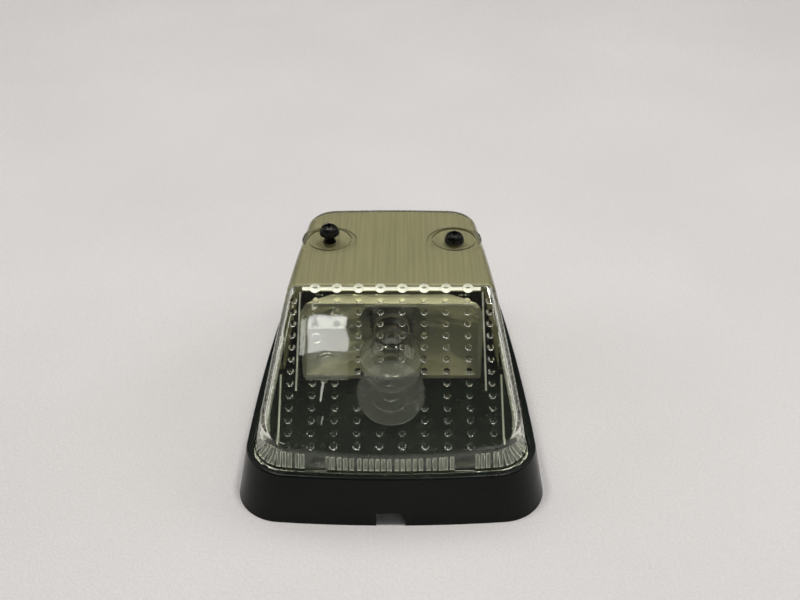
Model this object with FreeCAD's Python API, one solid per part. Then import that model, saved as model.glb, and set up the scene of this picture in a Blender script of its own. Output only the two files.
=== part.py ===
"""Turn signal indicator lamp: black base, clear roof-shaped lens, bayonet bulb and its holder.

Frame: +X across the lamp, +Y from the wide end to the narrow end, +Z up from the foot.
The origin is the centre of the foot, in the plane that the lamp stands on. Millimetres.
"""
import FreeCAD, Part
import math
import os

Vector = FreeCAD.Vector
UP = Vector(0, 0, 1)
ALONG = Vector(0, 1, 0)

# ---- plan of the lamp, measured at the foot ----
length = 137.0            # wide end to narrow end
wide_half = 56.0          # half width where the sides would meet the wide end
narrow_half = 44.8        # the same at the narrow end
side_bow = 2.4            # how far each long side swells out of a straight line
wide_bow = 3.2            # and the wide end
narrow_bow = 1.2          # and the narrow end
foot_wide_r = 17.0        # plan radius of the foot's corners
foot_narrow_r = 12.0

# ---- base housing ----
rim_height = 19.5
flare = 3.6               # the foot stands this far outside the rim
wall = 2.6
rim_width = 2.3           # flat top of the rim, outside the lens
rim_round = 0.8
tray_top = 16.0           # floor that the inner pieces stand on
tray_thickness = 2.5
notch_width = 10.5        # lead notch in the wide end's wall
notch_height = 5.0
pillar_r = 4.6            # pillars that the lens screws bite into
pillar_bore_depth = 13.4
pillar_gap = 0.1          # under the lens's screw bosses

# ---- mounting and lead entry ----
mount_spacing = 68.0      # between the two threaded inserts, along Y
mount_mid_y = -7.5
mount_boss_r = 6.5
insert_r = 4.0
insert_bore_r = 2.1       # tapped M5, at the thread's crest
insert_length = 10.0
grommet_y = 46.0
grommet_bore_r = 3.0
grommet_hole_r = 5.5
grommet_flange_r = 7.5
grommet_flange = 1.6

# ---- lens ----
lens_wall = 2.2
lens_gap = 0.4            # between the rim's inside and the lens
gasket_thickness = 1.5
gasket_lip = 0.3          # the gasket reaches this far inside the lens's wall
seat_gap = 0.1            # free height between the gasket and the lens's edge
wide_draft = 0.25         # lean of each lens wall, mm per mm of height
side_draft = 0.20
narrow_draft = 0.12
shoulder_from_end = 8.7   # front facet starts here, behind the foot's wide end
shoulder_height = 27.0
crest_from_end = 66.0
crest_height = 58.3
deck_end_from_end = 127.0
deck_end_height = 55.0
lens_wide_r = 13.0
lens_narrow_r = 12.0
shoulder_round = 4.0      # rounding where the walls turn into the roof
tongue_width = 7.0        # tongues that place the lens's wide edge in the tray
tongue_depth = 3.0
tongue_x = 26.0
tongue_thickness = 1.6
tongue_root = 2.0         # height of the bar that joins each tongue to the wall
tongue_clearance = 0.35

# ---- lens screws ----
screw_x = 24.8
screw_from_end = 100.0
screw_r = 2.1
screw_pitch = 1.4
screw_head_r = 4.0
screw_head_height = 2.9
screw_length = 16.0
recess_width = 1.1        # cross recess in the head
recess_reach = 2.2
recess_depth = 1.7
point_length = 1.8        # tapered tip of the shank
run_fit = 0.08            # radial clearance of a turning or sliding fit
axial_play = 0.05
washer_r = 4.3
washer_thickness = 0.8
left_screw_out = 3.6      # the left screw stands this far out of its seat
pocket_r = 8.7            # round pocket in the lens around each screw
pocket_depth = 1.2
boss_floor = 2.6
lens_hole_r = 2.6

# ---- inner cover and reflector ----
cover_gap = 0.9           # between the lens's inside and the cover
cover_wall = 1.6
cover_boss_gap = 0.6      # around the lens's screw bosses
crest_gap = 1.2           # from the crest to the cover's open end
cover_fix_from_end = 112.0
foot_block = 8.0
foot_block_height = 6.0
reflector_half = 34.5
reflector_wall = 1.6
reflector_front_from_end = 61.5
reflector_top = 52.2
reflector_focus = 22.0
apex_from_end = 76.0      # deepest point of the reflector's bowl
pad_r = 17.5              # flat pad behind the bowl that the holder is riveted to
pad_depth = 2.2

# ---- bulb and holder, on one horizontal axis ----
axis_height = 32.0
globe_from_end = 52.0     # centre of the bulb's globe
globe_r = 12.5
glass_wall = 0.7
bulb_clearance = 1.0      # around the globe, in the reflector's hole
neck_r = 6.6
neck_end_from_end = 72.5
cap_r = 7.5
cap_start_from_end = 71.5
cap_end_from_end = 88.0
cap_wall = 0.4
pin_from_cap_end = 6.85
pin_r = 1.0
pin_reach = 8.6           # pin tips, from the bulb's axis
insulator_thickness = 1.5
contact_r = 2.2
contact_height = 1.4
filament_r = 0.5
filament_wire_r = 0.13
filament_pitch = 0.5
filament_turns = 11
lead_r = 0.3
lead_half_gap = 1.2       # each lead leaves the stem this far from the axis
stem_height = 8.0
stem_tip_r = 1.9
insulator_neck_r = 3.7    # insulator inside the cap's turned-in end
insulator_neck = 1.0
sleeve_wall = 1.0
sleeve_start_from_end = 71.0
press_travel = 2.0        # how far the bulb can be pressed into the holder
unlock_angle = 20.0       # turn that brings the pins to the slot's mouth
slot_clearance = 0.35
carrier_thickness = 3.0
carrier_gap = 0.3
contact_gap = 0.05
stud_r = 2.4
stud_proud = 0.6
spring_wire_r = 0.4
spring_coil_r = 5.2
spring_turns = 5
spring_free = 11.0        # room behind the carrier at rest
end_disc_thickness = 2.5
flange_thickness = 1.0
rivet_r = 1.1
rivet_head_r = 1.9
rivet_head = 0.9
blade_width = 6.3         # standard push-on blade
blade_thickness = 0.8
blade_length = 9.0
blade_corner = 1.2        # cut off each leading corner
earth_lap = 6.0           # the earth blade lies along the sleeve for this length
fixing_r = 1.6            # self-tapping screws under the tray
fixing_head_r = 3.0
fixing_head = 2.0
fixing_length = 7.0
fixing_recess_width = 0.8
fixing_recess_reach = 1.6
fixing_recess_depth = 1.2

# ---- worked out from the sizes above ----
skirt_bottom = tray_top + gasket_thickness + seat_gap
recess_inset = flare + rim_width
lens_inset = recess_inset + lens_gap
gasket_width = lens_wall + gasket_lip
screw_y = screw_from_end - length / 2
crest_y = crest_from_end - length / 2
globe_y = globe_from_end - length / 2
cap_end_y = cap_end_from_end - length / 2
apex_y = apex_from_end - length / 2
reflector_front_y = reflector_front_from_end - length / 2
pin_y = cap_end_y - pin_from_cap_end
deck_slope = (deck_end_height - crest_height) / (deck_end_from_end - crest_from_end)
facet_slope = (crest_height - shoulder_height) / (crest_from_end - shoulder_from_end)
screw_deck_height = crest_height + deck_slope * (screw_from_end - crest_from_end)
pocket_floor = screw_deck_height - pocket_depth
pillar_top = pocket_floor - boss_floor - pillar_gap
sleeve_r = cap_r + run_fit
contact_tip_y = cap_end_y + insulator_thickness + contact_height
carrier_y = contact_tip_y + contact_gap + stud_proud
carrier_back_y = carrier_y + carrier_thickness
sleeve_end_y = carrier_back_y + spring_free
flange_y = apex_y + pad_depth
bulb_hole_r = globe_r + bulb_clearance
rivet_x = (bulb_hole_r + pad_r) / 2
cavity_top = tray_top - tray_thickness


def from_end(distance):
    """Row Y of a point that lies this far from the foot's wide end."""
    return distance - length / 2


def outline(side, wide, narrow, height):
    """Closed plan outline, inset from the foot on each side, at one height. Sharp corners."""
    y0 = from_end(wide)
    y1 = from_end(length - narrow)

    def half_at(distance):
        share = distance / length
        straight = wide_half + (narrow_half - wide_half) * share
        return straight + 4 * side_bow * share * (1 - share) - side

    a = half_at(wide)
    b = half_at(length - narrow)
    mid = half_at((wide + length - narrow) / 2)
    corners = [Vector(-a, y0 + wide_bow, height), Vector(a, y0 + wide_bow, height),
               Vector(b, y1 - narrow_bow, height), Vector(-b, y1 - narrow_bow, height)]
    middles = [Vector(0, y0, height), Vector(mid, (y0 + y1) / 2, height),
               Vector(0, y1, height), Vector(-mid, (y0 + y1) / 2, height)]
    edges = []
    for i in range(4):
        edges.append(Part.Arc(corners[i], middles[i], corners[(i + 1) % 4]).toShape())
    return Part.Wire(edges)


def block(low, high, z0, z1, wide_r, narrow_r):
    """Solid between two outlines, each given as its (side, wide, narrow) insets."""
    solid = Part.makeLoft([outline(*low, z0), outline(*high, z1)], True, True)
    for at_wide_end, radius in ((True, wide_r), (False, narrow_r)):
        upright = []
        for edge in solid.Edges:
            ends = [v.Point for v in edge.Vertexes]
            rises = abs(ends[0].z - ends[1].z) > (z1 - z0) / 2
            if rises and (ends[0].y < 0) == at_wide_end:
                upright.append(edge)
        solid = solid.makeFillet(radius, upright)
    return solid


def even(inset):
    """The same inset on every side."""
    return (inset, inset, inset)


def lens_insets(inward, height):
    """Insets of the lens's drafted walls at a height, moved in by a wall thickness."""
    rise = height - skirt_bottom
    return (lens_inset + inward + side_draft * rise,
            lens_inset + inward + wide_draft * rise,
            lens_inset + inward + narrow_draft * rise)


def roof_height(distance, drop):
    """Height of the roof over a point, once it is moved down by a wall thickness."""
    facet = shoulder_height + facet_slope * (distance - shoulder_from_end)
    facet -= drop * math.sqrt(1 + facet_slope ** 2)
    deck = crest_height + deck_slope * (distance - crest_from_end)
    deck -= drop * math.sqrt(1 + deck_slope ** 2)
    return min(facet, deck)


def roof(drop, bottom):
    """Everything under the two roof planes, moved down by drop, and above bottom."""
    shift = drop * math.sqrt(1 + facet_slope ** 2) - drop * math.sqrt(1 + deck_slope ** 2)
    ridge = crest_from_end + shift / (facet_slope - deck_slope)
    ends = (-length / 4, ridge, length * 5 / 4)
    half = wide_half * 1.2
    points = [Vector(-half, from_end(ends[0]), bottom)]
    for distance in ends:
        height = max(roof_height(distance, drop), bottom)
        points.append(Vector(-half, from_end(distance), height))
    points.append(Vector(-half, from_end(ends[2]), bottom))
    if points[0].distanceToPoint(points[1]) < 1e-6:
        points[1] = Vector(-half, from_end(shoulder_from_end), bottom)
        run = (bottom - roof_height(shoulder_from_end, drop)) / facet_slope
        points[1].y += run
        points.pop(0)
    return Part.Face(Part.makePolygon(points + [points[0]])).extrude(Vector(2 * half, 0, 0))


def lens_body(inward, bottom, rounding):
    """The lens's closed outer form, moved in by a thickness and standing on bottom."""
    top = crest_height + 2.0
    walls = block(lens_insets(inward, bottom), lens_insets(inward, top), bottom, top,
                  lens_wide_r - inward, lens_narrow_r - inward)
    body = walls.common(roof(inward, bottom)).removeSplitter()
    if rounding <= 0:
        return body
    edges = [e for e in body.Edges if e.BoundBox.ZMin > bottom + 1.0 and not is_upright(e)]
    return body.makeFillet(rounding, edges)


def is_upright(edge):
    """True for the lines along which the corner roundings meet the walls."""
    ends = [v.Point for v in edge.Vertexes]
    if len(ends) < 2:
        return False
    rise = abs(ends[0].z - ends[1].z)
    run = math.hypot(ends[0].x - ends[1].x, ends[0].y - ends[1].y)
    return rise > 2 * run


def cylinder(radius, z0, z1, x=0.0, y=0.0):
    return Part.makeCylinder(radius, z1 - z0, Vector(x, y, z0), UP)


def axial(radius, y0, y1, x=0.0):
    """A cylinder along the bulb's axis."""
    return Part.makeCylinder(radius, y1 - y0, Vector(x, y0, axis_height), ALONG)


def box(x0, x1, y0, y1, z0, z1):
    return Part.makeBox(x1 - x0, y1 - y0, z1 - z0, Vector(x0, y0, z0))


def fuse(shapes):
    return shapes[0].multiFuse(shapes[1:]).removeSplitter()


def turned(points):
    """Solid of revolution about the bulb's axis, from (y, radius) points."""
    line = [Vector(0, y, axis_height + r) for y, r in points]
    face = Part.Face(Part.makePolygon(line + [line[0]]))
    return face.revolve(Vector(0, 0, axis_height), ALONG, 360)


def screw_places():
    return [(-screw_x, screw_y), (screw_x, screw_y)]


def mount_places():
    return [(0.0, mount_mid_y - mount_spacing / 2), (0.0, mount_mid_y + mount_spacing / 2)]


def fixing_places():
    """Screws under the tray: two into the reflector's feet, two into the inner cover's."""
    reflector_x = reflector_half - reflector_wall - foot_block / 2
    cover_y = from_end(cover_fix_from_end)
    reflector_foot_y = reflector_front_y + foot_block * 0.75
    return [(-reflector_x, reflector_foot_y),
            (reflector_x, reflector_foot_y),
            (-cover_foot_x(cover_y), cover_y), (cover_foot_x(cover_y), cover_y)]


def cover_insets(inward, height):
    """Insets of the inner cover's walls, which follow the lens's from inside."""
    return lens_insets(lens_wall + cover_gap + inward, height)


def cover_foot_x(y):
    """X of a fixing block that stands against the cover's side wall."""
    wire = outline(*cover_insets(cover_wall, tray_top), tray_top)
    probe = Part.makeLine(Vector(0, y, tray_top), Vector(wide_half, y, tray_top))
    hit = probe.distToShape(wire)[1][0][0]
    return hit.x - foot_block / 2


def base_housing():
    """Flared skirt with a rim, a tray half way up, screw pillars and mounting bosses."""
    body = block(even(0), even(flare), 0, rim_height, foot_wide_r, foot_narrow_r)
    top_edges = [e for e in body.Edges if e.BoundBox.ZMin > rim_height - 0.1]
    body = body.makeFillet(rim_round, top_edges)
    recess = block(even(recess_inset), even(recess_inset), tray_top, rim_height + 5,
                   foot_wide_r - recess_inset * 0.7, foot_narrow_r - recess_inset * 0.5)
    lean = flare * cavity_top / rim_height
    cavity = block(even(wall), even(wall + lean), 0, cavity_top,
                   foot_wide_r - wall, foot_narrow_r - wall)
    body = body.cut(recess).cut(cavity)
    solids = [body]
    for x, y in mount_places():
        solids.append(cylinder(mount_boss_r, 0, cavity_top, x, y))
    for x, y in screw_places():
        solids.append(cylinder(pillar_r, tray_top, pillar_top, x, y))
    body = fuse(solids)
    cuts = [box(-notch_width / 2, notch_width / 2, from_end(-5), from_end(wall * 3), 0, notch_height)]
    for x, y in mount_places():
        cuts.append(cylinder(insert_r, 0, insert_length, x, y))
    for x, y in screw_places():
        cuts.append(cylinder(screw_r + run_fit, pillar_top - pillar_bore_depth, pillar_top, x, y))
    cuts.append(cylinder(grommet_hole_r, cavity_top, tray_top, 0, grommet_y))
    for x, y in fixing_places():
        cuts.append(cylinder(fixing_r, cavity_top, tray_top, x, y))
    for side in (-1, 1):
        x = side * tongue_x
        y = tongue_y()
        cuts.append(box(x - tongue_width / 2 - tongue_clearance, x + tongue_width / 2 + tongue_clearance,
                        y - tongue_clearance, y + tongue_thickness + tongue_clearance,
                        skirt_bottom - tongue_depth - tongue_clearance, tray_top))
    for cut in cuts:
        body = body.cut(cut)
    return body


def tongue_y():
    """Front of the tongues, clear of the gasket's inner edge."""
    return from_end(lens_inset + gasket_width + tongue_clearance * 2 + bow_at(tongue_x))


def bow_at(x):
    """How far the wide end's bow has drawn back at a distance from the middle."""
    return wide_bow * (x / wide_half) ** 2


def mounting_inserts():
    inserts = []
    for x, y in mount_places():
        body = cylinder(insert_r, 0, insert_length, x, y)
        inserts.append(body.cut(cylinder(insert_bore_r, 0, insert_length, x, y)))
    return Part.makeCompound(inserts)


def cable_grommet():
    body = fuse([cylinder(grommet_hole_r, cavity_top, tray_top, 0, grommet_y),
                 cylinder(grommet_flange_r, tray_top, tray_top + grommet_flange, 0, grommet_y),
                 cylinder(grommet_flange_r, cavity_top - grommet_flange, cavity_top, 0, grommet_y)])
    low = cavity_top - grommet_flange
    return body.cut(cylinder(grommet_bore_r, low, tray_top + grommet_flange, 0, grommet_y))


def lens_gasket():
    top = tray_top + gasket_thickness
    outer = block(even(lens_inset), even(lens_inset), tray_top, top, lens_wide_r, lens_narrow_r)
    inset = lens_inset + gasket_width
    inner = block(even(inset), even(inset), tray_top, top,
                  lens_wide_r - gasket_width, lens_narrow_r - gasket_width)
    return outer.cut(inner)


def lens():
    """Clear shell with two screw pockets and two placing tongues."""
    body = lens_body(0, skirt_bottom, shoulder_round)
    inside = lens_body(lens_wall, skirt_bottom, shoulder_round - lens_wall)
    body = body.cut(inside)
    bosses = []
    pockets = []
    for x, y in screw_places():
        boss = cylinder(pocket_r + lens_wall, pocket_floor - boss_floor, crest_height, x, y)
        bosses.append(boss.common(roof(0, skirt_bottom)).common(walls_only(0)))
        pocket = cylinder(pocket_r, pocket_floor, crest_height + 1, x, y)
        pockets.append(pocket)
        pockets.append(cylinder(lens_hole_r, skirt_bottom, crest_height, x, y))
    body = body.multiFuse(bosses)
    for pocket in pockets:
        body = body.cut(pocket)
    tongues = []
    for side in (-1, 1):
        x = side * tongue_x
        y = tongue_y()
        back = y + tongue_thickness
        low = skirt_bottom - tongue_depth
        root = skirt_bottom + tongue_root
        wall_middle = from_end(lens_inset + lens_wall * 0.6 + bow_at(tongue_x))
        tongues.append(box(x - tongue_width / 2, x + tongue_width / 2, y, back, low, root))
        tongues.append(box(x - tongue_width / 2, x + tongue_width / 2, wall_middle, back,
                           skirt_bottom + tongue_clearance, root))
    return body.multiFuse(tongues).removeSplitter()


def walls_only(inward):
    """The lens's drafted block, tall enough to trim a boss to its walls."""
    top = crest_height + 2.0
    return block(lens_insets(inward, skirt_bottom), lens_insets(inward, top), skirt_bottom, top,
                 lens_wide_r, lens_narrow_r)


def inner_cover():
    """Box behind the reflector, closed on top by the deck that shows through the lens."""
    drop = lens_wall + cover_gap
    start = crest_y + crest_gap
    keep = box(-wide_half, wide_half, start, length, 0, crest_height + 5)
    outer = cover_form(0, drop).common(keep)
    inner = cover_form(cover_wall, drop + cover_wall)
    body = outer.cut(inner)
    blocks = []
    for x, y in fixing_places()[2:]:
        reach = x + math.copysign(foot_block / 2 + cover_wall, x)
        piece = box(min(x, reach) - foot_block / 4, max(x, reach) + foot_block / 4,
                    y - foot_block / 2, y + foot_block / 2, tray_top, tray_top + foot_block_height)
        blocks.append(piece.common(outer))
    body = fuse([body] + blocks)
    for x, y in fixing_places()[2:]:
        body = body.cut(cylinder(fixing_r, tray_top, tray_top + fixing_length - tray_thickness, x, y))
    for x, y in screw_places():
        body = body.cut(cylinder(pocket_r + lens_wall + cover_boss_gap, pillar_top - 8,
                                 crest_height, x, y))
    return body


def cover_form(inward, drop):
    top = crest_height + 2.0
    walls = block(cover_insets(inward, tray_top), cover_insets(inward, top), tray_top, top,
                  lens_wide_r - lens_wall - cover_gap, lens_narrow_r - lens_wall - cover_gap)
    return walls.common(roof(drop, tray_top))


def dish(depth):
    """Everything in front of the reflector's paraboloid, moved back by depth."""
    reach = reflector_half * 1.5
    steps = 8
    points = []
    for i in range(steps + 1):
        r = reach * i / steps
        points.append(Vector(0, apex_y + depth - r * r / (4 * reflector_focus), axis_height + r))
    curve = Part.BSplineCurve()
    curve.interpolate(points)
    front = Vector(0, reflector_front_y - 60, axis_height)
    far = Vector(0, front.y, axis_height + reach)
    edges = [curve.toShape(), Part.makeLine(points[-1], far), Part.makeLine(far, front),
             Part.makeLine(front, points[0])]
    return Part.Face(Part.Wire(edges)).revolve(Vector(0, 0, axis_height), ALONG, 360)


def reflector():
    """Square-mouthed bowl, bright inside, with a pad for the holder and two feet."""
    half = reflector_half
    t = reflector_wall
    back = apex_y + pad_depth
    frame = box(-half, half, reflector_front_y, back, tray_top, reflector_top)
    hollow = box(-half + t, half - t, reflector_front_y - 10, back + 10, tray_top + t, reflector_top - t)
    outer = frame.common(dish(t)).fuse(axial(pad_r, apex_y - pad_depth, back).common(frame))
    for x, y in fixing_places()[:2]:
        outer = outer.fuse(box(x - foot_block / 2, x + foot_block / 2, y - foot_block / 2,
                               y + foot_block / 2, tray_top, tray_top + foot_block_height))
    body = outer.cut(hollow.common(dish(0)))
    body = body.cut(axial(bulb_hole_r, reflector_front_y - 10, back + 1))
    for x, y in fixing_places()[:2]:
        body = body.cut(cylinder(fixing_r, tray_top, tray_top + fixing_length - tray_thickness, x, y))
    for side in (-1, 1):
        body = body.cut(axial(rivet_r, reflector_front_y, back + 1, side * rivet_x))
    return body.removeSplitter()


def sector(r0, r1, y0, y1, a0, a1):
    """Part of a ring about the bulb's axis, between two angles from +X, in degrees."""
    points = [Vector(r0, y0, axis_height), Vector(r1, y0, axis_height),
              Vector(r1, y1, axis_height), Vector(r0, y1, axis_height)]
    centre = Vector(0, 0, axis_height)
    face = Part.Face(Part.makePolygon(points + [points[0]]))
    face.rotate(centre, ALONG, a0)
    return face.revolve(centre, ALONG, a1 - a0)


def bayonet_slots():
    """Two L-shaped slots: in from the mouth, then round by the unlocking angle."""
    room = pin_r + slot_clearance
    half = math.degrees(room / (sleeve_r + sleeve_wall / 2))
    low = pin_y - room
    high = pin_y + room + press_travel
    r0 = sleeve_r - 1.0
    r1 = pin_reach + slot_clearance * 2
    slots = []
    for turn in (0, 180):
        slots.append(sector(r0, r1, low, high, turn - half, turn + unlock_angle + half))
        slots.append(sector(r0, r1, from_end(sleeve_start_from_end) - 1, high,
                            turn + unlock_angle - half, turn + unlock_angle + half))
    return slots


def socket_sleeve():
    start = from_end(sleeve_start_from_end)
    body = axial(sleeve_r + sleeve_wall, start, sleeve_end_y).cut(axial(sleeve_r, start, sleeve_end_y))
    for slot in bayonet_slots():
        body = body.cut(slot)
    return body


def socket_flange():
    end = flange_y + flange_thickness
    body = axial(pad_r, flange_y, end).cut(axial(sleeve_r + sleeve_wall, flange_y, end))
    above_tray = tray_top + reflector_wall
    body = body.common(box(-pad_r, pad_r, flange_y, end, above_tray, reflector_top))
    for slot in bayonet_slots():
        body = body.cut(slot)
    for side in (-1, 1):
        body = body.cut(axial(rivet_r, flange_y, end, side * rivet_x))
    return body


def socket_rivets():
    """Two rivets through the flange and the reflector's pad."""
    rivets = []
    back = flange_y + flange_thickness
    front = apex_y - rivet_x ** 2 / (4 * reflector_focus) - rivet_head
    for side in (-1, 1):
        x = side * rivet_x
        body = fuse([axial(rivet_r, front, back + rivet_head, x),
                     axial(rivet_head_r, back, back + rivet_head, x)])
        rivets.append(body)
    return Part.makeCompound(rivets)


def socket_end_disc():
    body = axial(sleeve_r, sleeve_end_y - end_disc_thickness, sleeve_end_y)
    return body.cut(live_tail())


def live_tail():
    half = blade_width / 2
    return box(-half, half, sleeve_end_y - end_disc_thickness, sleeve_end_y,
               axis_height - blade_thickness / 2, axis_height + blade_thickness / 2)


def live_terminal():
    """Spring seat inside the holder, and a push-on blade behind it."""
    half = blade_width / 2
    seat = axial(spring_coil_r + spring_wire_r, live_seat_y() - blade_thickness, live_seat_y())
    blade = box(-half, half, live_seat_y(), sleeve_end_y + blade_length,
                axis_height - blade_thickness / 2, axis_height + blade_thickness / 2)
    return fuse([seat, pointed(blade, sleeve_end_y + blade_length)])


def live_seat_y():
    return sleeve_end_y - end_disc_thickness


def pointed(blade, tip_y):
    """A push-on blade with its two leading corners taken off."""
    corners = [e for e in blade.Edges if e.BoundBox.YMin > tip_y - 0.01 and e.BoundBox.XLength < 0.01]
    return blade.makeChamfer(blade_corner, corners)


def earth_terminal():
    """Blade welded along the underside of the sleeve, pointing back."""
    half = blade_width / 2
    top = axis_height - sleeve_r - sleeve_wall + 0.5
    y0 = sleeve_end_y - earth_lap
    y1 = sleeve_end_y + blade_length
    blade = box(-half, half, y0, y1, top - blade_thickness, top)
    return pointed(blade, y1).cut(axial(sleeve_r + sleeve_wall, y0 - 1, sleeve_end_y))


def contact_carrier():
    body = axial(sleeve_r - carrier_gap, carrier_y, carrier_back_y)
    return body.cut(axial(stud_r, carrier_y, carrier_back_y))


def contact_stud():
    return axial(stud_r, carrier_y - stud_proud, carrier_back_y)


def wound(wire_r, coil_r, height, turns):
    """A wire wound up the Z axis, swept from a circle that stands square across its path."""
    rise = height / turns
    helix = Part.makeHelix(rise, height, coil_r)
    heading = Vector(0, coil_r, rise / (2 * math.pi))
    circle = Part.Wire(Part.makeCircle(wire_r, Vector(coil_r, 0, 0), heading))
    return Part.Wire(helix.Edges).makePipeShell([circle], True, True)


def contact_spring():
    """Open coil between the carrier and the live terminal's seat."""
    end = live_seat_y() - blade_thickness - spring_wire_r
    start = carrier_back_y + spring_wire_r
    coil = wound(spring_wire_r, spring_coil_r - spring_wire_r, end - start, spring_turns)
    coil.rotate(Vector(0, 0, 0), Vector(1, 0, 0), -90)
    coil.translate(Vector(0, start, axis_height))
    return coil


def globe_outline(inward):
    """Half section of the globe and its neck, from the tip to the open end."""
    r = globe_r - inward
    sweep = math.radians(138)
    tip = Vector(0, globe_y - r, axis_height)
    middle = Vector(0, globe_y - r * math.cos(sweep / 2), axis_height + r * math.sin(sweep / 2))
    leave = Vector(0, globe_y - r * math.cos(sweep), axis_height + r * math.sin(sweep))
    neck = neck_r - inward
    bend = Vector(0, globe_y + globe_r * 1.15, axis_height + neck)
    end = Vector(0, from_end(neck_end_from_end), axis_height + neck)
    centre = Vector(0, end.y, axis_height)
    edges = [Part.Arc(tip, middle, leave).toShape()]
    for a, b in ((leave, bend), (bend, end), (end, centre), (centre, tip)):
        edges.append(Part.makeLine(a, b))
    return Part.Face(Part.Wire(edges))


def bulb_glass():
    centre = Vector(0, 0, axis_height)
    outer = globe_outline(0).revolve(centre, ALONG, 360)
    return outer.cut(globe_outline(glass_wall).revolve(centre, ALONG, 360))


def glass_stem():
    """Glass mount that closes the neck and holds the two lead wires."""
    end = from_end(neck_end_from_end)
    r = neck_r - glass_wall
    tip = end - stem_height
    return turned([(end, 0), (end, r), (end - stem_height / 8, r), (end - stem_height * 3 / 8, r / 2),
                   (tip, stem_tip_r), (tip, 0)])


def lead_half():
    return filament_pitch * filament_turns / 2


def filament_leads():
    """Two stiff wires from the stem to the ends of the filament."""
    leads = []
    stem_tip = from_end(neck_end_from_end) - stem_height
    for side in (-1, 1):
        start = Vector(side * lead_half_gap, stem_tip, axis_height)
        end = Vector(side * (lead_half() + lead_r), globe_y - filament_r, axis_height)
        run = end - start
        leads.append(Part.makeCylinder(lead_r, run.Length, start, run))
    return Part.makeCompound(leads)


def filament():
    coil = wound(filament_wire_r, filament_r, filament_pitch * filament_turns, filament_turns)
    coil.rotate(Vector(0, 0, 0), ALONG, 90)
    coil.translate(Vector(-lead_half(), globe_y, axis_height))
    return coil


def bulb_cap():
    """Thin brass cap, turned in at its end around the insulator."""
    start = from_end(cap_start_from_end)
    inner = cap_r - cap_wall
    body = axial(cap_r, start, cap_end_y).cut(axial(inner, start - 1, cap_end_y - cap_wall))
    body = body.cut(axial(insulator_neck_r, cap_end_y - 1, cap_end_y + 1))
    for pin in bayonet_pins().Solids:
        body = body.cut(pin)
    return body


def bayonet_pins():
    pins = []
    for side in (-1, 1):
        base = Vector(side * (cap_r - cap_wall), pin_y, axis_height)
        pins.append(Part.makeCylinder(pin_r, pin_reach - cap_r + cap_wall, base, Vector(side, 0, 0)))
    return Part.makeCompound(pins)


def cap_insulator():
    end = cap_end_y + insulator_thickness
    start = cap_end_y - insulator_neck
    return turned([(start, 0), (start, insulator_neck_r), (cap_end_y, insulator_neck_r),
                   (cap_end_y, cap_r * 0.84), (end, contact_r * 1.27), (end, 0)])


def bulb_contact():
    """Solder dome on the end of the bulb."""
    start = cap_end_y + insulator_thickness
    r = contact_r
    return turned([(start, 0), (start, r), (start + contact_height * 0.6, r * 0.85),
                   (start + contact_height, r * 0.4), (start + contact_height, 0)])


def cap_fill():
    """Basing cement between the glass neck and the cap."""
    start = from_end(cap_start_from_end)
    end = from_end(neck_end_from_end)
    return axial(cap_r - cap_wall, start, end).cut(axial(neck_r, start, end))


def screw_seat(side):
    """Height of a lens screw's washer: the left screw stands out of its seat."""
    seat = pocket_floor + axial_play
    return seat + left_screw_out if side < 0 else seat


def screw_washer(side):
    z0 = screw_seat(side)
    x = side * screw_x
    return cylinder(washer_r, z0, z0 + washer_thickness, x, screw_y).cut(
        cylinder(screw_r + run_fit, z0, z0 + washer_thickness, x, screw_y))


def lens_screw(side):
    """Pan head with a cross recess, on a shank with a blunt point."""
    z0 = screw_seat(side) + washer_thickness + axial_play
    x = side * screw_x
    crown = screw_head_height
    r = screw_head_r
    tip = z0 - screw_length
    head = [(0, z0 + crown), (0, tip), (screw_r * 0.4, tip), (screw_r, tip + point_length), (screw_r, z0),
            (r, z0), (r, z0 + crown * 0.45)]
    line = [Vector(x + a, screw_y, b) for a, b in head]
    edges = [Part.makeLine(p, q) for p, q in zip(line, line[1:])]
    shoulder = Vector(x + r * 0.75, screw_y, z0 + crown * 0.87)
    edges.append(Part.Arc(line[-1], shoulder, line[0]).toShape())
    body = Part.Face(Part.Wire(edges)).revolve(Vector(x, screw_y, 0), UP, 360)
    w = recess_width / 2
    floor = z0 + crown - recess_depth
    for dx, dy in ((recess_reach, w), (w, recess_reach)):
        body = body.cut(box(x - dx, x + dx, screw_y - dy, screw_y + dy, floor, z0 + crown + 1))
    return body


def fixing_screws():
    """Pan-head screws driven up through the tray into the reflector and the cover."""
    screws = []
    for x, y in fixing_places():
        low = cavity_top - fixing_head
        body = fuse([cylinder(fixing_head_r, low, cavity_top, x, y),
                     cylinder(fixing_r, low, cavity_top + fixing_length, x, y)])
        w = fixing_recess_width / 2
        for dx, dy in ((fixing_recess_reach, w), (w, fixing_recess_reach)):
            body = body.cut(box(x - dx, x + dx, y - dy, y + dy, low, low + fixing_recess_depth))
        screws.append(body)
    return Part.makeCompound(screws)


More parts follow.
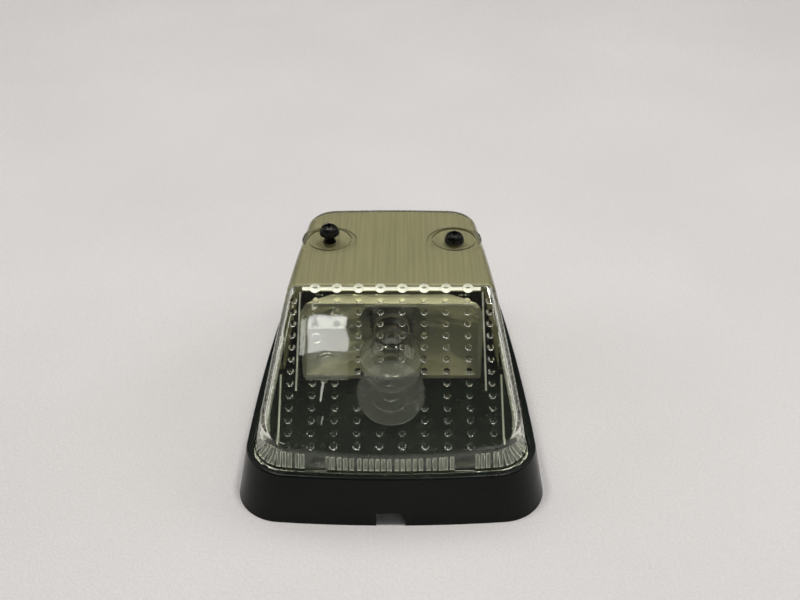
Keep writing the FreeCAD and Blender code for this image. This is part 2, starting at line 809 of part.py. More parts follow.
def parts():
    """Every sub-part, by the name of its node."""
    return {
        "base_housing": base_housing(),
        "mounting_inserts": mounting_inserts(),
        "cable_grommet": cable_grommet(),
        "fixing_screws": fixing_screws(),
        "lens_gasket": lens_gasket(),
        "lens": lens(),
        "inner_cover": inner_cover(),
        "reflector": reflector(),
        "socket_sleeve": socket_sleeve(),
        "socket_flange": socket_flange(),
        "socket_rivets": socket_rivets(),
        "socket_end_disc": socket_end_disc(),
        "live_terminal": live_terminal(),
        "earth_terminal": earth_terminal(),
        "contact_carrier": contact_carrier(),
        "contact_stud": contact_stud(),
        "contact_spring": contact_spring(),
        "bulb_glass": bulb_glass(),
        "glass_stem": glass_stem(),
        "filament": filament(),
        "filament_leads": filament_leads(),
        "bulb_cap": bulb_cap(),
        "cap_cement": cap_fill(),
        "bayonet_pins": bayonet_pins(),
        "cap_insulator": cap_insulator(),
        "bulb_contact": bulb_contact(),
        "screw_washer_left": screw_washer(-1),
        "screw_washer_right": screw_washer(1),
        "lens_screw_left": lens_screw(-1),
        "lens_screw_right": lens_screw(1),
    }


os.makedirs("parts", exist_ok=True)
for name, shape in parts().items():
    shape.exportStep("parts/" + name + ".step")
    print(name, len(shape.Solids), shape.isValid(), round(shape.Volume, 1))
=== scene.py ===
import math
import bmesh
import bpy
from mathutils import Matrix, Vector
from mathutils.bvhtree import BVHTree


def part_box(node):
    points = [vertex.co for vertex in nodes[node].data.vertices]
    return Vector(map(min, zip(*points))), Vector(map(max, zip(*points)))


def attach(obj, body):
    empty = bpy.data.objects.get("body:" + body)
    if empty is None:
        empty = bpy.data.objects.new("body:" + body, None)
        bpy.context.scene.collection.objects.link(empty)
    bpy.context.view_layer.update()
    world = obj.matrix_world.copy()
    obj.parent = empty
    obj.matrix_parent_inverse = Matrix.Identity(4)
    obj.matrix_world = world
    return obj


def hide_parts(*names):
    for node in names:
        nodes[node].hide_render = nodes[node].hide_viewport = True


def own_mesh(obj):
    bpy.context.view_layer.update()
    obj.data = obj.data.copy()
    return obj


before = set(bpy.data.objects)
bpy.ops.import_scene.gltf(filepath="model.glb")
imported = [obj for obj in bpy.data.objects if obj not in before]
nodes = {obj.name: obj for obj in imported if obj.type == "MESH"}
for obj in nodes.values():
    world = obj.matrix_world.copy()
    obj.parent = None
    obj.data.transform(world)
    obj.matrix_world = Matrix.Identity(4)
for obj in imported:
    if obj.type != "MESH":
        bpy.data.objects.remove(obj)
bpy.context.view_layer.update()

# ---- Camera ----
# A phone held above and in front of the lamp's wide end, tilted 36 degrees down.
camera_data = bpy.data.cameras.new("camera")
camera_data.sensor_width = 36.0
camera_data.lens = 49.5
camera_data.clip_start = 0.02
camera = bpy.data.objects.new("camera", camera_data)
camera.location = (0.0032, -0.337, 0.294)
camera.rotation_euler = (math.radians(90 - 36), 0, 0)
bpy.context.collection.objects.link(camera)
bpy.context.scene.camera = camera
bpy.context.scene.view_settings.view_transform = "Standard"

# ---- Table top and light ----
# A pale grained sheet under the lamp, a wide soft light overhead and two ceiling lamps,
# whose small bright shapes are what the lens's dots glint with.


def new_material(name):
    """An empty node material: the material, its nodes, its links and the output socket."""
    made = bpy.data.materials.new(name)
    made.use_nodes = True
    tree = made.node_tree
    tree.nodes.clear()
    output = tree.nodes.new("ShaderNodeOutputMaterial")
    return made, tree, output.inputs["Surface"]


def principled(tree, colour, roughness, metallic=0.0):
    """A Principled shader with its plain values set on its own sockets."""
    shader = tree.nodes.new("ShaderNodeBsdfPrincipled")
    shader.inputs["Base Color"].default_value = (*colour, 1)
    shader.inputs["Roughness"].default_value = roughness
    shader.inputs["Metallic"].default_value = metallic
    shader.inputs["Specular IOR Level"].default_value = 0.5 if metallic else 0.35
    return shader


def noise(tree, scale, detail=4.0, stretch=(1, 1, 1)):
    """Noise on Object coordinates, stretched along an axis where it should streak."""
    place = tree.nodes.new("ShaderNodeTexCoord")
    mapping = tree.nodes.new("ShaderNodeMapping")
    mapping.inputs["Scale"].default_value = stretch
    texture = tree.nodes.new("ShaderNodeTexNoise")
    texture.inputs["Scale"].default_value = scale
    texture.inputs["Detail"].default_value = detail
    tree.links.new(place.outputs["Object"], mapping.inputs["Vector"])
    tree.links.new(mapping.outputs["Vector"], texture.inputs["Vector"])
    return texture.outputs["Fac"]


def between(tree, factor, low, high, start=0.3, end=0.7):
    """Maps a factor from start..end to low..high, as a number or as a colour."""
    if isinstance(low, (int, float)):
        ramp = tree.nodes.new("ShaderNodeMapRange")
        ramp.inputs["From Min"].default_value = start
        ramp.inputs["From Max"].default_value = end
        ramp.inputs["To Min"].default_value = low
        ramp.inputs["To Max"].default_value = high
        tree.links.new(factor, ramp.inputs["Value"])
        return ramp.outputs["Result"]
    ramp = tree.nodes.new("ShaderNodeValToRGB")
    ramp.color_ramp.elements[0].position = start
    ramp.color_ramp.elements[0].color = (*low, 1)
    ramp.color_ramp.elements[1].position = end
    ramp.color_ramp.elements[1].color = (*high, 1)
    tree.links.new(factor, ramp.inputs["Fac"])
    return ramp.outputs["Color"]


def bump(tree, height, depth, shader):
    """Raises the shader's surface by a height factor, depth metres at most."""
    node = tree.nodes.new("ShaderNodeBump")
    node.inputs["Distance"].default_value = depth
    tree.links.new(height, node.inputs["Height"])
    tree.links.new(node.outputs["Normal"], shader.inputs["Normal"])


def table_top_material():
    made, tree, surface = new_material("table_top")
    shader = principled(tree, (0.62, 0.6, 0.6), 0.55)
    grain = noise(tree, 900, 6)
    cloud = noise(tree, 9, 2)
    mix = tree.nodes.new("ShaderNodeMix")
    mix.data_type = "RGBA"
    mix.blend_type = "MULTIPLY"
    mix.inputs["Factor"].default_value = 1.0
    tree.links.new(between(tree, cloud, (0.7, 0.68, 0.675), (0.74, 0.72, 0.715)), mix.inputs["A"])
    tree.links.new(between(tree, grain, (0.93, 0.93, 0.93), (1.0, 1.0, 1.0)), mix.inputs["B"])
    tree.links.new(mix.outputs["Result"], shader.inputs["Base Color"])
    bump(tree, grain, 0.0004, shader)
    tree.links.new(shader.outputs[0], surface)
    return made


floor_mesh = bmesh.new()
bmesh.ops.create_grid(floor_mesh, x_segments=1, y_segments=1, size=3.0)
floor_data = bpy.data.meshes.new("table_top")
floor_mesh.to_mesh(floor_data)
floor_mesh.free()
floor = bpy.data.objects.new("table_top", floor_data)
floor_data.materials.append(table_top_material())
bpy.context.collection.objects.link(floor)


def area_light(name, place, aim, width, depth, power, colour):
    """A flat lamp at place, facing aim."""
    lamp = bpy.data.lights.new(name, "AREA")
    lamp.shape = "RECTANGLE"
    lamp.size = width
    lamp.size_y = depth
    lamp.energy = power
    lamp.color = colour
    holder = bpy.data.objects.new(name, lamp)
    holder.location = place
    facing = Vector(aim) - Vector(place)
    holder.rotation_euler = facing.to_track_quat("-Z", "Y").to_euler()
    bpy.context.collection.objects.link(holder)


area_light("window_left", (-1.7, 0.5, 1.0), (0, 0, 0), 1.6, 1.2, 8, (1, 0.985, 0.97))
area_light("window_right", (1.7, 0.3, 1.1), (0, 0, 0), 1.6, 1.2, 10, (1, 0.985, 0.97))
area_light("window_back", (0, 1.0, 1.8), (0, 0, 0), 1.8, 0.9, 7, (1, 0.985, 0.97))
area_light("window_front", (0.9, -1.7, 0.9), (0, 0, 0), 1.2, 0.8, 3, (1, 0.985, 0.97))
area_light("ceiling_right", (0.30, 0.05, 1.2), (0, 0, 0), 0.15, 0.15, 5.0, (1, 0.98, 0.95))
area_light("ceiling_left", (-0.34, 0.1, 1.2), (0, 0, 0), 0.14, 0.14, 4.2, (1, 0.98, 0.95))
area_light("skylight", (-0.1077, -0.134, 1.341), (-0.1077, -0.134, 0), 0.061, 0.056, 0.09, (1, 1, 1))
world = bpy.data.worlds.new("room")
world.use_nodes = True
world.node_tree.nodes["Background"].inputs["Color"].default_value = (0.2, 0.2, 0.2, 1)
world.node_tree.nodes["Background"].inputs["Strength"].default_value = 0.5
bpy.context.scene.world = world

# ---- Base housing ----
# One injection moulding in black plastic: flared skirt, rim, tray, screw pillars and bosses.
# It is satin, with a fine moulded texture and faint lighter scuffs.


def dress(name, made):
    """Gives a node that keeps its shape its finish."""
    data = nodes[name].data
    data.materials.clear()
    data.materials.append(made)


def moulded(name, dark, light, rough_low, rough_high, grain_scale, grain_depth, shine=0.35):
    """Moulded plastic or rubber: cloudy colour, uneven gloss and a fine grain."""
    made, tree, surface = new_material(name)
    shader = principled(tree, light, rough_high)
    shader.inputs["Specular IOR Level"].default_value = shine
    tree.links.new(between(tree, noise(tree, 45, 5), dark, light), shader.inputs["Base Color"])
    tree.links.new(between(tree, noise(tree, 120, 5), rough_low, rough_high), shader.inputs["Roughness"])
    bump(tree, noise(tree, grain_scale, 3), grain_depth, shader)
    tree.links.new(shader.outputs[0], surface)
    return made


dress("base_housing", moulded("black_housing", (0.0022, 0.0038, 0.0026), (0.0045, 0.007, 0.005),
                              0.2, 0.3, 2500, 0.00003, shine=0.17))

# ---- Mounting inserts ----
# Two knurled brass bushes pressed into the bosses under the tray, tapped for bolts.


def metal(name, dark, light, rough_low, rough_high, streak=(1, 1, 1)):
    """Metal with cloudy colour and drawn or turned streaks in its gloss."""
    made, tree, surface = new_material(name)
    shader = principled(tree, light, rough_high, 1.0)
    tree.links.new(between(tree, noise(tree, 160, 5), dark, light), shader.inputs["Base Color"])
    streaks = noise(tree, 700, 4, streak)
    tree.links.new(between(tree, streaks, rough_low, rough_high), shader.inputs["Roughness"])
    bump(tree, streaks, 0.00002, shader)
    tree.links.new(shader.outputs[0], surface)
    return made


brass = metal("brass", (0.55, 0.36, 0.13), (0.68, 0.48, 0.2), 0.25, 0.4)
dress("mounting_inserts", brass)

# ---- Lead inlet ----
# A black rubber grommet sprung into the tray, for a lead to pass through.
rubber = moulded("black_rubber", (0.012, 0.012, 0.012), (0.022, 0.022, 0.021), 0.55, 0.75, 1800, 0.00004)
dress("cable_grommet", rubber)

# ---- Lens gasket ----
# A flat rubber ring under the lens's edge.
dress("lens_gasket", rubber)

# ---- Fixing screws ----
# Zinc plated self-tapping screws, driven up through the tray.
zinc = metal("zinc_steel", (0.42, 0.42, 0.4), (0.6, 0.6, 0.58), 0.25, 0.42)
dress("fixing_screws", zinc)

# ---- Inner cover ----
# A khaki moulding behind the reflector. Its deck shows through the narrow end of the lens,
# with fine moulded ribs running along it.


def khaki_material():
    made, tree, surface = new_material("khaki_cover")
    shader = principled(tree, (0.36, 0.33, 0.2), 0.5)
    streak = noise(tree, 900, 2, (1, 0.02, 0.02))
    cloud = noise(tree, 30, 3)
    mix = tree.nodes.new("ShaderNodeMix")
    mix.data_type = "RGBA"
    mix.blend_type = "MULTIPLY"
    mix.inputs["Factor"].default_value = 1.0
    tree.links.new(between(tree, cloud, (0.2, 0.19, 0.107), (0.2225, 0.206, 0.12)), mix.inputs["A"])
    tree.links.new(between(tree, streak, (0.8, 0.8, 0.77), (1, 1, 1), 0.35, 0.65), mix.inputs["B"])
    tree.links.new(mix.outputs["Result"], shader.inputs["Base Color"])
    bump(tree, streak, 0.0001, shader)
    tree.links.new(shader.outputs[0], surface)
    return made


khaki = khaki_material()
dress("inner_cover", khaki)

# ---- Reflector ----
# A moulded bowl, metallised bright and lacquered, slightly wavy where the lacquer ran.


def reflector_material():
    made, tree, surface = new_material("bright_reflector")
    shader = principled(tree, (0.8, 0.77, 0.62), 0.12, 0.72)
    wave = noise(tree, 45, 2, (1, 1, 2.5))
    tree.links.new(between(tree, noise(tree, 90, 4), (0.78, 0.75, 0.58), (0.88, 0.85, 0.68)),
                   shader.inputs["Base Color"])
    tree.links.new(between(tree, noise(tree, 200, 4), 0.08, 0.2), shader.inputs["Roughness"])
    bump(tree, wave, 0.0012, shader)
    tree.links.new(shader.outputs[0], surface)
    return made


dress("reflector", reflector_material())

# ---- Bulb holder ----
# A zinc plated steel sleeve with bayonet slots, riveted by its flange to the reflector.
# Inside are a board carrier with a brass stud and a coil spring on the live blade.
dress("socket_sleeve", zinc)
dress("socket_flange", zinc)
dress("socket_rivets", metal("rivet_aluminium", (0.6, 0.6, 0.61), (0.75, 0.75, 0.76), 0.3, 0.45))
board = moulded("insulating_board", (0.1, 0.045, 0.02), (0.17, 0.08, 0.035), 0.45, 0.6, 700, 0.00005)
dress("socket_end_disc", board)
dress("contact_carrier", board)
dress("live_terminal", brass)
dress("earth_terminal", brass)
dress("contact_stud", brass)


def settled(name, mesh):
    """A finished object from a bmesh, placed in the scene."""
    data = bpy.data.meshes.new(name)
    mesh.to_mesh(data)
    mesh.free()
    made = bpy.data.objects.new(name, data)
    bpy.context.collection.objects.link(made)
    return made


def rounded_shading(made, degrees):
    """Smooth shading that keeps edges sharper than an angle, and keeps flat faces flat."""
    made.data.shade_smooth()
    made.data.set_sharp_from_angle(angle=math.radians(degrees))
    weighted = made.modifiers.new("flat_faces_flat", "WEIGHTED_NORMAL")
    weighted.keep_sharp = True


coil = bmesh.new()
coil.from_mesh(nodes["contact_spring"].data)
bmesh.ops.remove_doubles(coil, verts=coil.verts, dist=1e-7)
coil_piece = settled("carrier_spring", coil)
coil_piece.data.materials.clear()
coil_piece.data.materials.append(metal("spring_steel", (0.3, 0.3, 0.3), (0.45, 0.45, 0.45), 0.2, 0.35))
rounded_shading(coil_piece, 50)
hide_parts("contact_spring")
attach(coil_piece, "base")
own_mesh(coil_piece)

# ---- Bulb ----
# A clear glass globe on a glass stem, cemented into a bayonet cap of bright brass, with a
# coiled tungsten filament between two stiff leads.


def clear(name, colour, shadow, roughness, ior, waviness, wave_scale, milky=0.0):
    """Clear glass or plastic. Lamps shine through it, tinted, onto what is behind."""
    made, tree, surface = new_material(name)
    shader = principled(tree, colour, roughness)
    shader.inputs["Transmission Weight"].default_value = 1.0 - milky
    shader.inputs["IOR"].default_value = ior
    bump(tree, noise(tree, wave_scale, 2), waviness, shader)
    through = tree.nodes.new("ShaderNodeBsdfTransparent")
    through.inputs["Color"].default_value = (*shadow, 1)
    path = tree.nodes.new("ShaderNodeLightPath")
    mix = tree.nodes.new("ShaderNodeMixShader")
    tree.links.new(path.outputs["Is Shadow Ray"], mix.inputs["Fac"])
    tree.links.new(shader.outputs[0], mix.inputs[1])
    tree.links.new(through.outputs[0], mix.inputs[2])
    tree.links.new(mix.outputs[0], surface)
    return made


bulb_glass = clear("bulb_glass", (0.98, 0.99, 0.99), (0.97, 0.98, 0.98), 0.0, 1.5, 0.00002, 60)
dress("bulb_glass", bulb_glass)
dress("glass_stem", bulb_glass)
bright_brass = metal("bulb_brass", (0.6, 0.46, 0.22), (0.76, 0.6, 0.3), 0.15, 0.3, (1, 0.1, 1))
dress("bulb_cap", bright_brass)
dress("bayonet_pins", bright_brass)
dress("cap_cement", moulded("basing_cement", (0.4, 0.36, 0.27), (0.55, 0.5, 0.4), 0.8, 0.9, 1500, 0.0001))
dress("cap_insulator", moulded("black_glass", (0.006, 0.005, 0.008), (0.012, 0.01, 0.014), 0.05, 0.12, 300, 0.00002))
dress("bulb_contact", metal("solder", (0.45, 0.45, 0.45), (0.62, 0.62, 0.62), 0.3, 0.5))
tungsten = metal("tungsten", (0.2, 0.2, 0.2), (0.32, 0.32, 0.33), 0.25, 0.4)
dress("filament", tungsten)
dress("filament_leads", tungsten)

# ---- Lens ----
# One clear moulding, faintly yellow-green. Inside, small domes stand in rows on the sloping
# facet and fine flutes line the walls, so that the lamp shows evenly from every side.
cad_lens = nodes["lens"].data
lens_tree = BVHTree.FromPolygons([v.co for v in cad_lens.vertices],
                                 [tuple(p.vertices) for p in cad_lens.polygons])
lens_low, lens_high = (Vector(corner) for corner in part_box("lens"))
WALL = 0.0022


def lens_hit(start, direction):
    """Where a straight line first meets the lens."""
    return lens_tree.ray_cast(Vector(start), Vector(direction))[0]


facet_low = lens_hit((0, lens_low.y + 0.015, 1), (0, 0, -1))
facet_high = lens_hit((0, lens_low.y + 0.045, 1), (0, 0, -1))
UPHILL = (facet_high - facet_low).normalized()
FACET_OUT = Vector((0, -UPHILL.z, UPHILL.y))
SLOPE = UPHILL.z / UPHILL.y
CREST_UPHILL = 0.0505
CREST = facet_low + UPHILL * CREST_UPHILL


def on_facet(x, below_crest, depth):
    """Matrix whose Z points into the lens's hollow, at a depth under the facet."""
    across = Vector((1, 0, 0))
    inward = -FACET_OUT
    turn = Matrix((across, inward.cross(across), inward)).transposed().to_4x4()
    where = CREST - UPHILL * below_crest - FACET_OUT * depth
    where.x = x
    return Matrix.Translation(where) @ turn


def append(mesh, other):
    """Moves another mesh's faces into a mesh."""
    spare = bpy.data.meshes.new("spare")
    other.to_mesh(spare)
    other.free()
    mesh.from_mesh(spare)
    bpy.data.meshes.remove(spare)


def everything(mesh):
    return mesh.verts[:] + mesh.edges[:] + mesh.faces[:]


def add_dome(mesh, matrix, radius, height, segments=14, material=0):
    """A low round dome, with a root that sinks into the wall that it stands on."""
    root = 0.0004
    ball = (radius ** 2 + height ** 2) / (2 * height)
    made = bmesh.new()
    bmesh.ops.create_uvsphere(made, u_segments=segments, v_segments=2 * segments, radius=ball)
    bmesh.ops.translate(made, verts=made.verts, vec=(0, 0, height - ball))
    bmesh.ops.bisect_plane(made, geom=everything(made), dist=1e-7, plane_co=(0, 0, -root),
                           plane_no=(0, 0, -1), clear_outer=True)
    rim = [e for e in made.edges if e.is_boundary]
    bmesh.ops.contextual_create(made, geom=rim)
    bmesh.ops.recalc_face_normals(made, faces=made.faces)
    bmesh.ops.transform(made, matrix=matrix, verts=made.verts)
    for face in made.faces:
        face.material_index = material
    append(mesh, made)


def add_flute(mesh, start, end, inward, width, height, material=0):
    """A round-backed rib from start to end along a wall, standing off it along inward."""
    root = 0.0003
    radius = width / 2
    along = end - start
    made = bmesh.new()
    bmesh.ops.create_circle(made, segments=18, radius=radius, cap_ends=True)
    bmesh.ops.translate(made, verts=made.verts, vec=(0, height - radius, 0))
    bmesh.ops.bisect_plane(made, geom=everything(made), dist=1e-7, plane_co=(0, -root, 0),
                           plane_no=(0, -1, 0), clear_outer=True)
    solid = bmesh.ops.extrude_face_region(made, geom=made.faces[:])
    moved = [v for v in solid["geom"] if isinstance(v, bmesh.types.BMVert)]
    bmesh.ops.translate(made, verts=moved, vec=(0, 0, along.length))
    bmesh.ops.recalc_face_normals(made, faces=made.faces)
    up = along.normalized()
    side = inward.cross(up).normalized()
    turn = Matrix((side, up.cross(side), up)).transposed().to_4x4()
    bmesh.ops.transform(made, matrix=Matrix.Translation(start) @ turn, verts=made.verts)
    for face in made.faces:
        face.material_index = material
    append(mesh, made)


def add_slab(mesh, matrix, width, depth, height, material=0):
    """A low rectangular step on a wall, from its middle, with a root sunk into the wall."""
    root = 0.0004
    made = bmesh.new()
    bmesh.ops.create_cube(made, size=1)
    bmesh.ops.scale(made, verts=made.verts, vec=(width, depth, height + root))
    bmesh.ops.translate(made, verts=made.verts, vec=(0, 0, (height - root) / 2))
    bmesh.ops.transform(made, matrix=matrix, verts=made.verts)
    for face in made.faces:
        face.material_index = material
    append(mesh, made)


def add_disc(mesh, matrix, radius, height, material=0, bore=0):
    """A low round step on a wall, or a ring when it has a bore."""
    root = 0.0004
    made = bmesh.new()
    bmesh.ops.create_circle(made, segments=64, radius=radius, cap_ends=not bore)
    if bore:
        outer = made.edges[:]
        inner = bmesh.ops.create_circle(made, segments=64, radius=bore)["verts"]
        inner_edges = [e for e in made.edges if e.verts[0] in inner]
        bmesh.ops.bridge_loops(made, edges=outer + inner_edges)
    bmesh.ops.translate(made, verts=made.verts, vec=(0, 0, -root))
    solid = bmesh.ops.extrude_face_region(made, geom=made.faces[:])
    moved = [v for v in solid["geom"] if isinstance(v, bmesh.types.BMVert)]
    bmesh.ops.translate(made, verts=moved, vec=(0, 0, height + root))
    bmesh.ops.recalc_face_normals(made, faces=made.faces)
    bmesh.ops.transform(made, matrix=matrix, verts=made.verts)
    for face in made.faces:
        face.material_index = material
    append(mesh, made)


# Rows of domes on the facet, left out of a round smooth disc and a smooth patch.
DOME_R = 0.0015
DOME_HEIGHT = 0.0009
COLUMN_PITCH = 0.00803
ROW_PITCH = 0.00467
ROWS = 13
COLUMNS = 10
FIRST_BELOW_CREST = 0.0057
DISC_BELOW_CREST = 0.0419
DISC_R = 0.0122
PATCH_X = (-0.0305, -0.0155)
PATCH_BELOW_CREST = (0.017, 0.037)

FROSTED = 1
PAINT = 2
SMOOTH = 3
# Slot of the milky white crest frost, a painted highlight along the crest.
CREST_PAINTED_HIGHLIGHT = 4
strips = bmesh.new()
optics = bmesh.new()
STRIP_WIDTH = 0.0056
STRIP_HEIGHT = 0.0003
STRIP_TRIM = 0.0025
STRIP_LENGTH = ROW_PITCH * ROWS - STRIP_TRIM
for column in range(COLUMNS):
    x = (column - (COLUMNS - 1) / 2) * COLUMN_PITCH
    middle = FIRST_BELOW_CREST + ROW_PITCH * (ROWS - 1) / 2 - STRIP_TRIM / 2
    add_slab(strips, on_facet(x, middle, WALL), STRIP_WIDTH, STRIP_LENGTH, STRIP_HEIGHT)
    for row in range(ROWS):
        below = FIRST_BELOW_CREST + ROW_PITCH * row
        on_disc = math.hypot(x, below - DISC_BELOW_CREST) < DISC_R + DOME_R / 2
        on_patch = PATCH_X[0] < x < PATCH_X[1] and PATCH_BELOW_CREST[0] < below < PATCH_BELOW_CREST[1]
        if not on_disc and not on_patch:
            add_dome(optics, on_facet(x, below, WALL), DOME_R, DOME_HEIGHT)

# The smooth disc and patch stand a little proud of the strips, with plain moulded rings.
plates = bmesh.new()
add_disc(plates, on_facet(0, DISC_BELOW_CREST, WALL), DISC_R, 0.0006, SMOOTH)
PATCH_MIDDLE = (sum(PATCH_X) / 2, sum(PATCH_BELOW_CREST) / 2)
add_slab(plates, on_facet(*PATCH_MIDDLE, WALL), PATCH_X[1] - PATCH_X[0],
         PATCH_BELOW_CREST[1] - PATCH_BELOW_CREST[0], 0.0006, SMOOTH)
# A milky white frosted bar runs under the crest as a painted highlight, and a thin rib down each side of the facet,
# in two steps.
add_slab(plates, on_facet(0, 0.0007, WALL), 0.0665, 0.0014, 0.0005, CREST_PAINTED_HIGHLIGHT)
for side in (-1, 1):
    add_slab(plates, on_facet(side * 0.034, 0.0215, WALL), 0.0006, 0.039, 0.0008, FROSTED)
    add_slab(plates, on_facet(side * 0.0396, 0.048, WALL), 0.0006, 0.026, 0.0008, FROSTED)
rings = bmesh.new()
add_disc(rings, on_facet(0, DISC_BELOW_CREST, WALL + 0.0001), 0.0072, 0.001, SMOOTH, bore=0.0068)
add_disc(rings, on_facet(0, DISC_BELOW_CREST, WALL + 0.0001), 0.0032, 0.001, SMOOTH, bore=0.0028)
add_disc(rings, on_facet(PATCH_MIDDLE[0], 0.0305, WALL + 0.0001), 0.0046, 0.001, bore=0.0041)
add_disc(rings, on_facet(PATCH_MIDDLE[0], 0.0305, WALL + 0.0001), 0.003, 0.001, bore=0.0026)
add_disc(rings, on_facet(PATCH_MIDDLE[0] - 0.0045, 0.0205, WALL + 0.0001), 0.002, 0.001, bore=0.0016)

# A row of eight larger domes under the crest, milky white as a painted highlight along the crest.
CREST_PITCH = 0.00815
for column in range(8):
    x = (column - 3.5) * CREST_PITCH
    add_dome(optics, on_facet(x, 0.0004, WALL + 0.0001), 0.0021, 0.0014, material=CREST_PAINTED_HIGHLIGHT)

# Flutes round the inside of the walls. On the sides they stand square to the facet, and
# behind the crest they stand upright.
FLUTE_PITCH = 0.0022
FLUTE_WIDTH = 0.0015
FLUTE_HEIGHT = 0.0006
FLUTE_BOTTOM = lens_low.z + 0.0042
FLUTE_TOP_GAP = 0.0032
RING_STEPS = 720
ring = []
for i in range(RING_STEPS):
    angle = 2 * math.pi * i / RING_STEPS
    ring.append(lens_hit((0, 0, FLUTE_BOTTOM), (math.cos(angle), math.sin(angle), 0)))
flutes = [bmesh.new(), bmesh.new()]
fluted = 0
mitre_run = (CREST.z - WALL - FLUTE_BOTTOM) * SLOPE
walked = FLUTE_PITCH
for here, after in zip(ring, ring[1:] + ring[:1]):
    walked += (after - here).length
    if walked < FLUTE_PITCH:
        continue
    walked -= FLUTE_PITCH
    tangent = (after - here).normalized()
    inward = Vector((0, 0, 1)).cross(tangent)
    lean = SLOPE * abs(tangent.y)
    base = here.copy()
    if base.y > CREST.y + mitre_run:
        lean = 0
    starts = [(base, lean)]
    if CREST.y < base.y <= CREST.y + mitre_run and abs(tangent.y) > 0.5:
        rise = (CREST.y + mitre_run - base.y) / SLOPE
        starts.append((base + Vector((0, 0, rise)), 0))
    fluted += 1
    for foot, tilt in starts:
        heading = Vector((0, -tilt, 1)).normalized()
        reach = 0.0035 + (foot.z - FLUTE_BOTTOM) * 0.25
        front = lens_hit(foot + inward * reach, -inward)
        above = lens_hit(foot + heading * 0.004 + inward * (reach + 0.0015), -inward)
        if front is None or above is None:
            continue
        up_wall = (above - front).normalized()
        if not 0.05 < up_wall.dot(inward) < 0.4:
            continue
        clear_of_wall = front + inward * 0.0012
        top = lens_hit(clear_of_wall, up_wall)
        if top is None or (top - clear_of_wall).length < 0.002 + FLUTE_TOP_GAP:
            continue
        flute_length = (top - clear_of_wall).length - FLUTE_TOP_GAP
        add_flute(flutes[fluted % 2], front, front + up_wall * flute_length, inward,
                  FLUTE_WIDTH, FLUTE_HEIGHT, FROSTED)


def joined(made, tool):
    """Joins a closed tool to a piece, each face keeping its material, and drops the tool."""
    for slot in made.data.materials:
        tool.data.materials.append(slot)
    modifier = made.modifiers.new("join", "BOOLEAN")
    modifier.operation = "UNION"
    modifier.solver = "MANIFOLD"
    modifier.object = tool
    made.data = bpy.data.meshes.new_from_object(
        made.evaluated_get(bpy.context.evaluated_depsgraph_get()))
    made.modifiers.clear()
    bpy.data.objects.remove(tool)


shell = bmesh.new()
shell.from_mesh(cad_lens)
bmesh.ops.remove_doubles(shell, verts=shell.verts, dist=1e-7)
for face in shell.faces:
    face.material_index = 0
lens_piece = settled("clear_lens", shell)
lens_piece.data.materials.clear()
lens_piece.data.materials.append(clear("clear_lens", (0.93, 0.945, 0.86), (0.86, 0.87, 0.78),
                                       0.02, 1.49, 0.00002, 80))
lens_piece.data.materials.append(clear("frosted_lens", (0.9, 0.92, 0.83), (0.84, 0.85, 0.76),
                                       0.3, 1.49, 0.00004, 900, milky=0.14))
lens_piece.data.materials.append(khaki)
lens_piece.data.materials.append(clear("smooth_lens", (0.9, 0.92, 0.85), (0.84, 0.85, 0.76),
                                       0.12, 1.49, 0.00002, 80, milky=0.035))
# Milky white frost for the crest's bar and domes: a painted highlight.
lens_piece.data.materials.append(clear("crest_painted_highlight", (0.95, 0.95, 0.9), (0.8, 0.8, 0.75),
                                       0.3, 1.49, 0.00004, 900, milky=0.8))
for tool in (strips, plates, rings, optics, *flutes):
    joined(lens_piece, settled("lens_tool", tool))

# Behind the crest the inside is painted khaki, up to a clean edge.
coat = bmesh.new()
coat.from_mesh(lens_piece.data)
PAINT_EDGE = CREST.y + 0.0018
bmesh.ops.bisect_plane(coat, geom=everything(coat), dist=1e-7, plane_co=(0, PAINT_EDGE, 0),
                       plane_no=(0, 1, 0))
AXIS_HEIGHT = 0.025
for face in coat.faces:
    middle = face.calc_center_median()
    outwards = Vector((middle.x, 0, middle.z - AXIS_HEIGHT))
    if middle.y > lens_high.y - 0.02:
        outwards.y = (middle.y - lens_high.y + 0.02) * 4
    faces_in = face.normal.dot(outwards) < 0 or lens_hit(middle + face.normal * 0.0001, face.normal)
    bare = face.material_index in (FROSTED, CREST_PAINTED_HIGHLIGHT)
    if middle.y > PAINT_EDGE and middle.z > lens_low.z + 0.0035 and faces_in and not bare:
        face.material_index = PAINT
bmesh.ops.dissolve_limit(coat, angle_limit=math.radians(0.4), verts=coat.verts, edges=coat.edges,
                         delimit={"MATERIAL"})
coat.to_mesh(lens_piece.data)
coat.free()
rounded_shading(lens_piece, 35)
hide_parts("lens")
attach(lens_piece, "lens")

# ---- Lens screws and washers ----
# Blackened pan-head self-tapping screws with a cross recess, each with a thin captive washer.
# The head is forged, the thread rolled, and all of it is oiled black.
black_steel = metal("blackened_steel", (0.012, 0.012, 0.011), (0.035, 0.035, 0.033), 0.22, 0.4)
HEAD_HEIGHT = 0.0029
HEAD_R = 0.0034
FLANGE_R = 0.0037
CORE_R = 0.0015
CREST_R = 0.00205
THREAD_PITCH = 0.0014
RECESS_DEPTH = 0.0017


def turned(points, steps=48):
    """A closed round solid from an outline of (radius, height) points that starts and ends on Z."""
    made = bmesh.new()
    line = [made.verts.new((radius, 0, height)) for radius, height in points]
    edges = [made.edges.new(pair) for pair in zip(line, line[1:])]
    bmesh.ops.spin(made, geom=line + edges, cent=(0, 0, 0), axis=(0, 0, 1), dvec=(0, 0, 0),
                   angle=2 * math.pi, steps=steps, use_merge=True)
    bmesh.ops.remove_doubles(made, verts=made.verts, dist=1e-6)
    bmesh.ops.recalc_face_normals(made, faces=made.faces)
    return made


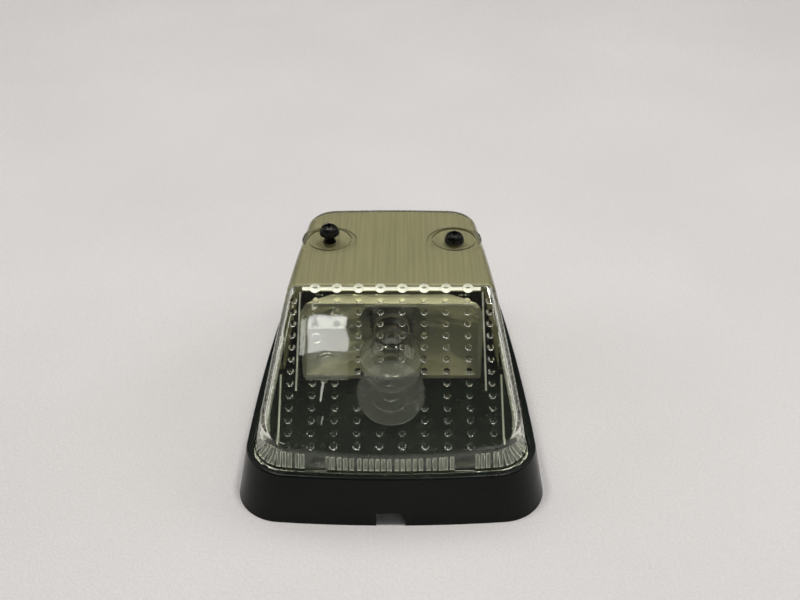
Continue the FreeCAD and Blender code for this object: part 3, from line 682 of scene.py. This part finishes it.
def screw_head():
    """Domed head over a thin flange, on a core that tapers to a blunt point."""
    outline = [(0, HEAD_HEIGHT)]
    for i in range(1, 7):
        angle = math.radians(15 * i)
        outline.append((HEAD_R * math.sin(angle), 0.001 + (HEAD_HEIGHT - 0.001) * math.cos(angle)))
    outline += [(HEAD_R, 0.0006), (FLANGE_R, 0.0005), (FLANGE_R, 0), (CORE_R * 1.2, 0), (CORE_R * 1.2, -0.001),
                (CORE_R, -0.0015), (CORE_R, -0.0142), (CORE_R * 0.5, -0.0158), (0, -0.016)]
    return turned(outline)


def thread():
    """A sharp-crested ridge wound down the core, fading in at the point."""
    steps_per_turn = 24
    turns = 9
    made = bmesh.new()
    half = THREAD_PITCH * 0.32
    root = CORE_R * 0.8
    corners = [made.verts.new(place) for place in
               ((root, 0, half), (CREST_R, 0, 0.00005), (CREST_R, 0, -0.00005), (root, 0, -half))]
    section = made.faces.new(corners)
    bmesh.ops.spin(made, geom=[section, *section.edges, *corners], cent=(0, 0, 0), axis=(0, 0, 1),
                   dvec=(0, 0, THREAD_PITCH / steps_per_turn), angle=2 * math.pi * turns,
                   steps=steps_per_turn * turns)
    bmesh.ops.remove_doubles(made, verts=made.verts, dist=1e-7)
    bmesh.ops.contextual_create(made, geom=[e for e in made.edges if e.is_boundary][:4])
    bmesh.ops.holes_fill(made, edges=[e for e in made.edges if e.is_boundary], sides=4)
    bmesh.ops.translate(made, verts=made.verts, vec=(0, 0, -0.0142))
    bmesh.ops.recalc_face_normals(made, faces=made.faces)
    return made


def cross_recess():
    """The two tapered arms of the cross for the screwdriver."""
    arms = []
    for width, reach in ((0.0011, 0.0044), (0.0044, 0.0011)):
        arm = bmesh.new()
        bmesh.ops.create_cube(arm, size=1)
        bmesh.ops.scale(arm, verts=arm.verts, vec=(width, reach, 0.003))
        floor_verts = [v for v in arm.verts if v.co.z < 0]
        bmesh.ops.scale(arm, verts=floor_verts, vec=(0.55, 0.55, 1))
        bmesh.ops.translate(arm, verts=arm.verts, vec=(0, 0, HEAD_HEIGHT - RECESS_DEPTH + 0.0015))
        arms.append(arm)
    return arms


def cut(made, tool):
    """Cuts a piece with a closed tool, and drops the tool."""
    modifier = made.modifiers.new("cut", "BOOLEAN")
    modifier.operation = "DIFFERENCE"
    modifier.solver = "MANIFOLD"
    modifier.object = tool
    made.data = bpy.data.meshes.new_from_object(
        made.evaluated_get(bpy.context.evaluated_depsgraph_get()))
    made.modifiers.clear()
    bpy.data.objects.remove(tool)


for side in ("left", "right"):
    low, high = (Vector(corner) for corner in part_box("lens_screw_" + side))
    seat = Matrix.Translation(((low.x + high.x) / 2, (low.y + high.y) / 2, high.z - HEAD_HEIGHT))
    screw = settled("lens_screw_" + side, screw_head())
    screw.name = side + "_lens_screw"
    screw.data.materials.append(black_steel)
    joined(screw, settled("thread", thread()))
    for arm in cross_recess():
        cut(screw, settled("recess", arm))
    screw.data.transform(seat)
    rounded_shading(screw, 35)
    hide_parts("lens_screw_" + side)
    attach(screw, side + "_screw")

    washer_low, washer_high = (Vector(corner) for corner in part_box("screw_washer_" + side))
    thickness = washer_high.z - washer_low.z
    ring_mesh = bmesh.new()
    add_disc(ring_mesh, Matrix.Translation((0, 0, 0.0004)), 0.0039, thickness - 0.0004, bore=0.0022)
    washer = settled(side + "_screw_washer", ring_mesh)
    washer.data.materials.append(black_steel)
    washer.data.transform(Matrix.Translation((seat.translation.x, seat.translation.y, washer_low.z)))
    edge = washer.modifiers.new("rounded_edge", "BEVEL")
    edge.width = 0.00015
    edge.segments = 2
    rounded_shading(washer, 35)
    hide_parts("screw_washer_" + side)
    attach(washer, side + "_washer")
